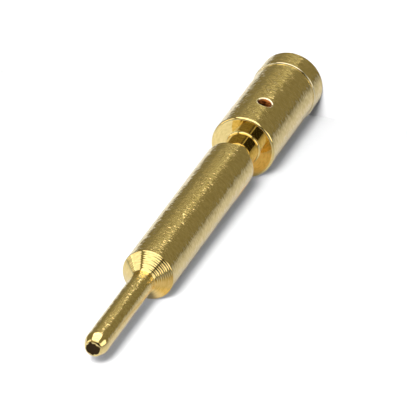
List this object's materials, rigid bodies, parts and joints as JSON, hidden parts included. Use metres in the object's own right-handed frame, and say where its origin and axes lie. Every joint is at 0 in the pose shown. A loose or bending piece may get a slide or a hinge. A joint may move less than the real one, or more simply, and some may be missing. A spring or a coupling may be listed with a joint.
{
  "type": "crimp contact",
  "caption": "Turned male crimp contact with a tapered mating pin, conical shoulder, long guide body, narrow retention neck and hollow crimp barrel with an inspection hole.",
  "frame": {"origin": "centre of the flat rear face of the crimp barrel, on which the contact stands", "axes": "+Z along the axis of turning, from the crimp barrel to the tip of the mating pin; the inspection hole opens towards -Y"},
  "size_m": [0.0028, 0.0028, 0.0254],
  "materials": {
    "gold_plated_brass": "bright gold plating over fine turning marks"
  },
  "bodies": {
    "root": {"crimp_contact": "gold_plated_brass"}
  },
  "joints": []
}
